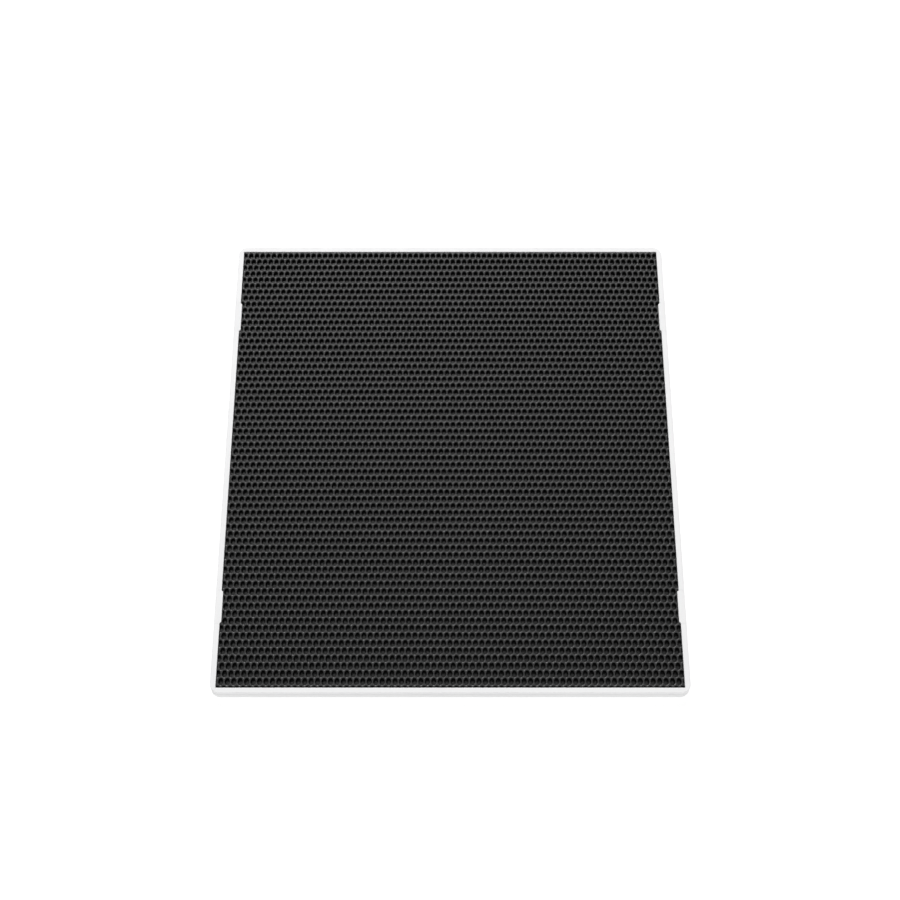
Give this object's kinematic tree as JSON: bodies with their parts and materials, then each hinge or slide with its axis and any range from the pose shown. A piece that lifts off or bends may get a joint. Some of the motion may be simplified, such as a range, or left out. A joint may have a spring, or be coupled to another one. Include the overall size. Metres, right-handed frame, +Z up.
{
  "type": "door mat",
  "caption": "Rectangular scraper mat: a black honeycomb insert that lifts out of a thin white tray with a rounded rim and flush side clips.",
  "frame": {"origin": "on the ground under the middle of the mat", "axes": "+X across the mat's width to the right, +Y along its depth to the rear edge, +Z up"},
  "size_m": [0.45, 0.5, 0.013],
  "materials": {
    "tray_plastic": "satin moulded white plastic",
    "bezel_plastic": "smooth satin white plastic",
    "clip_plastic": "fine matte white plastic",
    "honeycomb_rubber": "satin black moulded rubber",
    "backing_rubber": "matte black rubber sheet",
    "foot_rubber": "matte grey rubber"
  },
  "bodies": {
    "tray": {"base_tray": "tray_plastic", "rim_bezel": "bezel_plastic", "side_clip_front_left": "clip_plastic", "side_clip_front_right": "clip_plastic", "side_clip_rear_left": "clip_plastic", "side_clip_rear_right": "clip_plastic", "rubber_foot_front_left": "foot_rubber", "rubber_foot_front_right": "foot_rubber", "rubber_foot_middle_left": "foot_rubber", "rubber_foot_middle_right": "foot_rubber", "rubber_foot_rear_left": "foot_rubber", "rubber_foot_rear_right": "foot_rubber"},
    "insert": {"honeycomb_grid": "honeycomb_rubber", "backing_sheet": "backing_rubber"}
  },
  "joints": [
    {"name": "mat_lift", "type": "slide", "parent": "tray", "child": "insert", "axis": [0, 0, 1], "range_m": [0, 0.06]}
  ]
}
